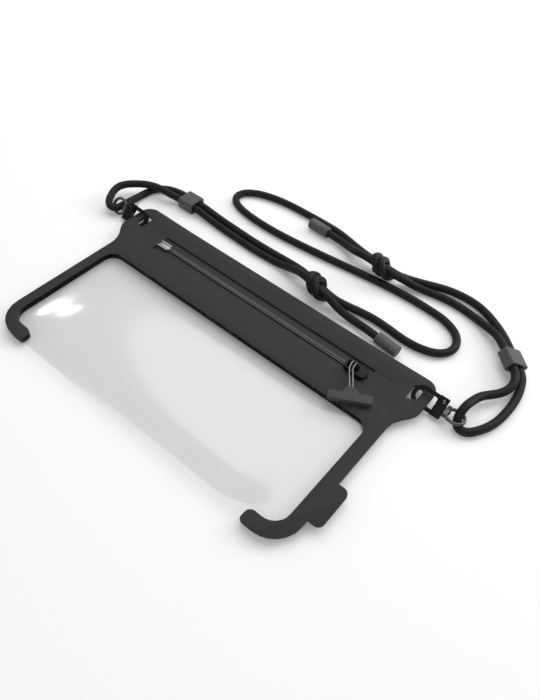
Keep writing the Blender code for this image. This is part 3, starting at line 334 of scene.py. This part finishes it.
# Shoulder cord: one length of round braid from cap to cap, and the wraps of the two knots.
# It leaves the near cap, passes the near knot, the left lock and eye, the knot again, the far loop,
# the far knot, the right lock and eye, and ends in the far cap.
CORD_RADIUS = 0.0029
STRAND_SPACING = 0.0060
NEAR_KNOT = (Vector((0.0187, 0.0942, 0.0092)), math.radians(-13), math.radians(-37.2))
FAR_KNOT = (Vector((0.0420, 0.1437, 0.0098)), math.radians(-4.5), math.radians(-33.6))
LEFT_LOCK = (Vector((-0.1150, 0.1041, 0.0048)), 0.0, 0.0)
RIGHT_LOCK = (Vector((0.1569, 0.1291, 0.00745)), math.radians(-43.8), math.radians(-26.5))
RUN_LEAD = 0.0025
KNOT_REACH = 0.0110
LOCK_REACH = 0.0080
NEAR_TAIL = [(0.0590, 0.0888, 0.0035), (0.0500, 0.0886, 0.0044), (0.0410, 0.0880, 0.0078)]
NEAR_STRAND = [(-0.0030, 0.0966, 0.0086), (-0.0110, 0.0979, 0.0056), (-0.0190, 0.0984, 0.0034),
               (-0.0290, 0.0981, 0.0029), (-0.0430, 0.0978, 0.0029), (-0.0620, 0.0986, 0.0029),
               (-0.0800, 0.0997, 0.0029), (-0.0950, 0.1008, 0.0036)]
LEFT_LOOP = [(-0.1330, 0.0978, 0.0076), (-0.1410, 0.0972, 0.0080), (-0.1497, 0.0949, 0.0083),
             (-0.1551, 0.0913, 0.0088), (-0.1594, 0.0865, 0.0094), (-0.1634, 0.0817, 0.0096),
             (-0.1666, 0.0766, 0.0092), (-0.1670, 0.0715, 0.0086), (-0.1654, 0.0664, 0.0078),
             (-0.1629, 0.0616, 0.0072), (-0.1596, 0.0575, 0.0069), (-0.1556, 0.0550, 0.0067),
             (-0.1513, 0.0555, 0.0062), (-0.1500, 0.0585, 0.0061), (-0.1501, 0.0625, 0.0059),
             (-0.1505, 0.0670, 0.0054), (-0.1514, 0.0743, 0.0040), (-0.1518, 0.0822, 0.0031),
             (-0.1514, 0.0905, 0.0029), (-0.1496, 0.0982, 0.0029), (-0.1438, 0.1042, 0.0030),
             (-0.1345, 0.1071, 0.0038)]
FAR_STRAND = [(-0.0950, 0.1071, 0.0036), (-0.0860, 0.1068, 0.0029), (-0.0680, 0.1056, 0.0029),
              (-0.0480, 0.1046, 0.0029), (-0.0300, 0.1046, 0.0029), (-0.0160, 0.1047, 0.0032),
              (-0.0040, 0.1028, 0.0052)]
LONG_LOOP = [(0.0410, 0.0952, 0.0054), (0.0510, 0.0985, 0.0035), (0.0630, 0.1005, 0.0029),
             (0.0770, 0.0999, 0.0029), (0.0919, 0.0984, 0.0029), (0.1051, 0.0997, 0.0029),
             (0.1155, 0.1041, 0.0029), (0.1208, 0.1112, 0.0029), (0.1208, 0.1200, 0.0029),
             (0.1155, 0.1280, 0.0029), (0.1050, 0.1335, 0.0029), (0.0886, 0.1357, 0.0029),
             (0.0640, 0.1358, 0.0029), (0.0401, 0.1337, 0.0029), (0.0190, 0.1312, 0.0029),
             (0.0010, 0.1290, 0.0029), (-0.0195, 0.1268, 0.0029), (-0.0410, 0.1252, 0.0029),
             (-0.0600, 0.1253, 0.0029), (-0.0755, 0.1268, 0.0029), (-0.0865, 0.1296, 0.0029),
             (-0.0942, 0.1345, 0.0029), (-0.0962, 0.1415, 0.0029), (-0.0925, 0.1482, 0.0029),
             (-0.0840, 0.1538, 0.0029), (-0.0720, 0.1577, 0.0029), (-0.0580, 0.1598, 0.0029),
             (-0.0400, 0.1604, 0.0029), (-0.0200, 0.1604, 0.0029), (-0.0060, 0.1594, 0.0030),
             (0.0050, 0.1563, 0.0038), (0.0150, 0.1521, 0.0058)]
UPPER_STRAND = [(0.0630, 0.1497, 0.0058), (0.0715, 0.1550, 0.0038), (0.0800, 0.1596, 0.0029),
                (0.0910, 0.1634, 0.0029), (0.1030, 0.1650, 0.0029), (0.1130, 0.1644, 0.0029),
                (0.1220, 0.1614, 0.0032), (0.1310, 0.1562, 0.0038), (0.1395, 0.1496, 0.0050)]
RIGHT_LOOP = [(0.1714, 0.1125, 0.0044), (0.1728, 0.1030, 0.0034), (0.1727, 0.0910, 0.0030),
              (0.1712, 0.0800, 0.0029), (0.1684, 0.0715, 0.0029), (0.1650, 0.0655, 0.0029),
              (0.1622, 0.0613, 0.0029), (0.1592, 0.0591, 0.0029), (0.1557, 0.0587, 0.0028),
              (0.1530, 0.0604, 0.0033), (0.1516, 0.0630, 0.0057), (0.1512, 0.0656, 0.0086),
              (0.1514, 0.0692, 0.0106), (0.1519, 0.0742, 0.0103), (0.1531, 0.0811, 0.0086),
              (0.1550, 0.0880, 0.0072), (0.1603, 0.0953, 0.0064), (0.1650, 0.1025, 0.0068),
              (0.1665, 0.1092, 0.0078)]
LOWER_STRAND = [(0.1375, 0.1434, 0.0070), (0.1285, 0.1478, 0.0048), (0.1195, 0.1511, 0.0034),
                (0.1100, 0.1532, 0.0029), (0.0990, 0.1538, 0.0029), (0.0870, 0.1526, 0.0029),
                (0.0770, 0.1503, 0.0032), (0.0690, 0.1468, 0.0054), (0.0620, 0.1434, 0.0088)]
FAR_TAIL = [(0.0175, 0.1445, 0.0088), (0.0090, 0.1482, 0.0060)]


def run(place, side, reach, back=False):
    """A straight run of cord through a piece, on one side of its middle."""
    centre, heading, roll = place
    along = Vector((math.cos(heading), math.sin(heading), 0)) * (-1 if back else 1)
    level = Vector((-math.sin(heading), math.cos(heading), 0))
    offset = (level * math.cos(roll) + Vector((0, 0, math.sin(roll)))) * side * STRAND_SPACING / 2
    return [centre + offset + along * at for at in (-reach - RUN_LEAD, -reach, reach, reach + RUN_LEAD)]


def smooth(route, parts=8):
    """Points on a smooth curve through the route."""
    route = [Vector(p) for p in route]
    steps = [b - a for a, b in zip(route, route[1:])]
    slopes = [steps[0].normalized()]
    for before, after in zip(steps, steps[1:]):
        slopes.append((before / before.length * after.length + after / after.length * before.length)
                      / (before.length + after.length))
    slopes.append(steps[-1].normalized())
    fine = []
    for i, step in enumerate(steps):
        for part in range(parts):
            t = part / parts
            fine.append(route[i] * (2 * t ** 3 - 3 * t ** 2 + 1) + route[i + 1] * (3 * t ** 2 - 2 * t ** 3)
                        + slopes[i] * step.length * (t ** 3 - 2 * t ** 2 + t)
                        + slopes[i + 1] * step.length * (t ** 3 - t ** 2))
    fine.append(route[-1])
    return fine


def even(points, step):
    """The same line with points one step apart."""
    picked = [points[0]]
    left = step
    for a, b in zip(points, points[1:]):
        length = (b - a).length
        while left <= length:
            a = a.lerp(b, left / length)
            length -= left
            left = step
            picked.append(a)
        left -= length
    if (points[-1] - picked[-1]).length > step / 2:
        picked.append(points[-1])
    else:
        picked[-1] = points[-1]
    return picked


def eased(points, passes=2, reach=2):
    """The same line with its sharpest turns eased, its ends left where they are."""
    for _ in range(passes):
        done = list(points)
        for i in range(reach, len(points) - reach):
            done[i] = sum(points[i - reach:i + reach + 1], Vector()) / (2 * reach + 1)
        points = done
    return points


DOME_RINGS = 4
DOME_STEP = math.radians(20)


def braided_tube(name, points, radius, mat, sides=20):
    """A tube along the points with domed ends, and its own UV: round it, and metres along it."""
    dome = []
    for end, inward in ((points[0], points[1]), (points[-1], points[-2])):
        out = (end - inward).normalized()
        dome.append([(end + out * radius * math.sin(a), math.cos(a))
                     for a in (DOME_STEP * ring for ring in range(1, DOME_RINGS + 1))])
    points = [p for p, _ in dome[0][::-1]] + list(points) + [p for p, _ in dome[1]]
    scales = [s for _, s in dome[0][::-1]] + [1.0] * (len(points) - 2 * DOME_RINGS) + [s for _, s in dome[1]]
    mesh = bpy.data.meshes.new(name)
    shape = bmesh.new()
    bmesh.ops.create_grid(shape, x_segments=sides, y_segments=len(points) - 1, size=1)
    uv = shape.loops.layers.uv.new("UVMap")
    tangents = []
    for i in range(len(points)):
        tangents.append((points[min(i + 1, len(points) - 1)] - points[max(i - 1, 0)]).normalized())
    up = Vector((0, 0, 1))
    frames = []
    travelled = [0.0]
    for i, tangent in enumerate(tangents):
        side = tangent.cross(up).normalized()
        up = side.cross(tangent)
        frames.append((side, up))
        if i:
            travelled.append(travelled[-1] + (points[i] - points[i - 1]).length)
    rows = {}
    for vert in shape.verts:
        rows[vert] = (round((vert.co.x + 1) / 2 * sides), round((vert.co.y + 1) / 2 * (len(points) - 1)))
    for face in shape.faces:
        for loop in face.loops:
            column, row = rows[loop.vert]
            loop[uv].uv = (column / sides, travelled[row])
    ends = ([], [])
    for vert, (column, row) in rows.items():
        a = 2 * math.pi * column / sides
        side, up = frames[row]
        vert.co = points[row] + (side * math.cos(a) + up * math.sin(a)) * radius * scales[row]
        if row == 0:
            ends[0].append(vert)
        elif row == len(points) - 1:
            ends[1].append(vert)
    for ring in ends:
        bmesh.ops.pointmerge(shape, verts=ring, merge_co=sum((v.co for v in ring), Vector()) / len(ring))
    bmesh.ops.remove_doubles(shape, verts=shape.verts, dist=0.000001)
    bmesh.ops.recalc_face_normals(shape, faces=shape.faces)
    shape.to_mesh(mesh)
    shape.free()
    mesh.materials.append(mat)
    mesh.shade_smooth()
    made = bpy.data.objects.new(name, mesh)
    scene.collection.objects.link(made)
    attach(made, "pouch")
    return made


# The braid shows as two families of fine slanting yarns that cross round the cord.
BRAID_STARTS = 8
BRAID_PITCH = 0.0021
YARN_HEIGHT = 0.00012
braid = Finish("braided cord", (0.0065, 0.0065, 0.0068), 0.50, specular=0.20)
around = braid.strip.node("ShaderNodeSeparateXYZ", "X", {"Vector": braid.strip})
along = braid.strip.node("ShaderNodeSeparateXYZ", "Y", {"Vector": braid.strip})
turn = around * (2 * math.pi * BRAID_STARTS)
travel = along * (2 * math.pi / BRAID_PITCH)
weave = turn.math("MAXIMUM", turn.math("SINE", turn + travel), turn.math("SINE", turn - travel))
braid.raise_by(weave, YARN_HEIGHT, 0.5)
# The cord's colour is darker between the yarns and lighter on their crests: painted shade and painted
# highlight.
braid.shade(weave * 0.5 + 0.5, 0.22)

TAIL_STEPS = (0.0100, 0.004, -0.005, -0.010)
CORD_STEP = 0.0013
tails = []
for mouth, heading, _ in (NEAR_CAP, FAR_CAP):
    ahead = Vector((math.cos(heading), math.sin(heading), 0))
    tails.append([mouth + ahead * at for at in TAIL_STEPS])
route = (tails[0] + NEAR_TAIL + run(NEAR_KNOT, -1, KNOT_REACH, back=True) + NEAR_STRAND
         + run(LEFT_LOCK, -1, LOCK_REACH, back=True) + LEFT_LOOP + run(LEFT_LOCK, 1, LOCK_REACH)
         + FAR_STRAND + run(NEAR_KNOT, 1, KNOT_REACH) + LONG_LOOP + run(FAR_KNOT, 1, KNOT_REACH)
         + UPPER_STRAND + run(RIGHT_LOCK, 1, LOCK_REACH) + RIGHT_LOOP
         + run(RIGHT_LOCK, -1, LOCK_REACH, back=True) + LOWER_STRAND
         + run(FAR_KNOT, -1, KNOT_REACH, back=True) + FAR_TAIL + tails[1][::-1])
centreline = even(eased(even(smooth(route), CORD_STEP)), CORD_STEP)
cord_length = sum((b - a).length for a, b in zip(centreline, centreline[1:]))
shoulder_cord = braided_tube("shoulder_cord_shown", centreline, CORD_RADIUS, braid.material)
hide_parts("shoulder_cord")

# Each knot is two turns of the same cord, pulled down on the pair of strands and leaning with the pull.
KNOT_CORD = 0.0027
KNOT_OUTER = 0.0072
KNOT_TURNS = 2.15
KNOT_PITCH = 0.0058
KNOT_LEAN = -0.0034
KNOT_FLATNESS = 2.2
KNOT_STEPS = 120
for name, (centre, heading, roll) in (("knot_near", NEAR_KNOT), ("knot_far", FAR_KNOT)):
    ahead = Vector((math.cos(heading), math.sin(heading), 0))
    level = Vector((-math.sin(heading), math.cos(heading), 0))
    across = level * math.cos(roll) + Vector((0, 0, math.sin(roll)))
    upward = ahead.cross(across)
    reach = KNOT_OUTER - KNOT_CORD
    wraps = []
    for i in range(KNOT_STEPS + 1):
        turns = KNOT_TURNS * i / KNOT_STEPS
        a = 2 * math.pi * turns - math.pi / 2
        spread = STRAND_SPACING / 2 * max(-1.0, min(1.0, KNOT_FLATNESS * math.cos(a)))
        wraps.append(centre + ahead * (KNOT_PITCH * (turns - KNOT_TURNS / 2) + KNOT_LEAN * math.sin(a))
                     + across * (spread + reach * math.cos(a)) + upward * (reach * math.sin(a)))
    knot = braided_tube(name + "_shown", wraps, KNOT_CORD, braid.material)
    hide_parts(name)

# Stage: a white surface under soft light from behind and above, which keeps faint shadows.
# The surface adds a little of its own white where the camera, gloss or clear film looks at it.
FLOOR_HALF = 3.0
FLOOR_OWN_WHITE = 0.10
mesh = bpy.data.meshes.new("floor")
shape = bmesh.new()
bmesh.ops.create_grid(shape, x_segments=1, y_segments=1, size=FLOOR_HALF)
shape.to_mesh(mesh)
shape.free()
floor = bpy.data.objects.new("floor", mesh)
scene.collection.objects.link(floor)
white = Finish("white surface", (0.90, 0.90, 0.90), 0.9, specular=0.1)
paths = white.tree.nodes.new("ShaderNodeLightPath")
seen = Value(white.tree, paths.outputs["Is Camera Ray"])
for ray in ("Is Glossy Ray", "Is Transmission Ray"):
    seen = seen.math("MAXIMUM", seen, Value(white.tree, paths.outputs[ray]))
glow = seen.node("ShaderNodeEmission", 0, {"Color": (1, 1, 1, 1), "Strength": seen * FLOOR_OWN_WHITE})
lit = seen.node("ShaderNodeAddShader", 0, {0: Value(white.tree, white.shader.outputs[0]), 1: glow})
white.tree.links.new(lit.socket, white.tree.nodes["Material Output"].inputs["Surface"])
mesh.materials.append(white.material)


def lamp(name, place, aim, size, power):
    """A soft round area light."""
    data = bpy.data.lights.new(name, "AREA")
    data.shape = "DISK"
    data.size = size
    data.energy = power
    made = bpy.data.objects.new(name, data)
    scene.collection.objects.link(made)
    made.location = place
    made.rotation_euler = (Vector(aim) - Vector(place)).to_track_quat("-Z", "Y").to_euler()


lamp("top softbox", (-0.22, 0.66, 1.10), (0, 0.04, 0), 1.4, 8.5)
lamp("back softbox", (0.55, 0.95, 0.55), (0, 0.04, 0), 0.6, 5.0)
lamp("front fill", (0.35, -1.00, 0.75), (0, 0.04, 0), 0.9, 2.0)
lamp("side softbox", (-1.14, 0.35, 0.66), (-0.05, 0, 0), 0.14, 0.65)

# The room lights the surface softly, and is white where the camera looks past it.
WORLD_LIGHT = 0.45
world = bpy.data.worlds.new("studio")
scene.world = world
world.use_nodes = True
background = world.node_tree.nodes["Background"]
background.inputs["Color"].default_value = (1, 1, 1, 1)
paths = world.node_tree.nodes.new("ShaderNodeLightPath")
looked_at = Value(world.node_tree, paths.outputs["Is Camera Ray"])
strength = looked_at * (1 - WORLD_LIGHT) + WORLD_LIGHT
world.node_tree.links.new(strength.socket, background.inputs["Strength"])

# Camera: over the slider's side of the pouch, looking down at it.
camera_data = bpy.data.cameras.new("camera")
camera_data.lens = 33.25
camera_data.sensor_width = 36
camera_data.clip_start = 0.01
camera = bpy.data.objects.new("camera", camera_data)
scene.collection.objects.link(camera)
right = Vector((0.77071, 0.6336, 0.06754))
down = Vector((0.52021, -0.56447, -0.6409))
forward = Vector((-0.36796, 0.52908, -0.76465))
camera.matrix_world = (Matrix.Translation((0.18734, -0.19808, 0.3312))
                       @ Matrix((right, -down, -forward)).transposed().to_4x4())
scene.camera = camera
scene.view_settings.view_transform = "Standard"
